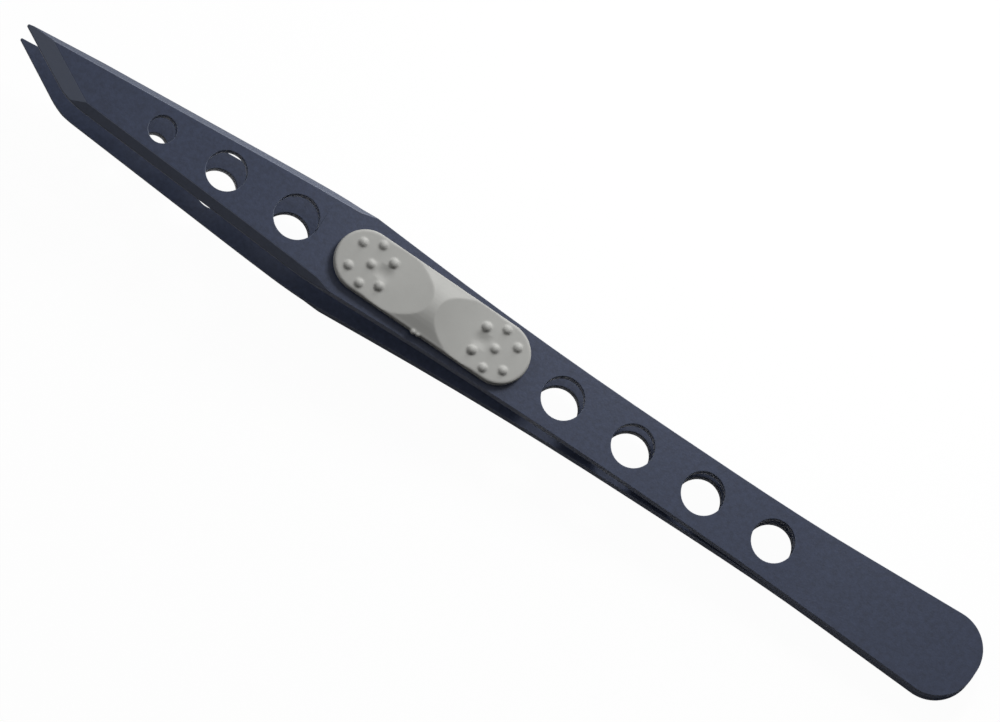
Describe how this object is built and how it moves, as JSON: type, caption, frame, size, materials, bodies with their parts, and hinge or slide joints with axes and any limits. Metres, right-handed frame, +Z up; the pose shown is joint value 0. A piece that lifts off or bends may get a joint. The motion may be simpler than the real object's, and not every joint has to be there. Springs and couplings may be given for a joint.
{
  "type": "coated tweezers",
  "caption": "Flat-legged coated steel tweezers with lightening holes, slanted tips and a scooped, bumped grip pad on each leg.",
  "frame": {"origin": "on the surface that the tweezers lie on, below the middle of their length and width", "axes": "+X along the tweezers from the tail to the tip, +Z up"},
  "size_m": [0.122, 0.0098, 0.0137],
  "materials": {
    "coated_steel": "matte dark slate-blue coating on spring steel",
    "grip_rubber": "matte moulded elastomer, light grey"
  },
  "bodies": {
    "root": {"upper_leg": "coated_steel", "lower_leg": "coated_steel", "upper_grip": "grip_rubber", "lower_grip": "grip_rubber"}
  },
  "joints": []
}
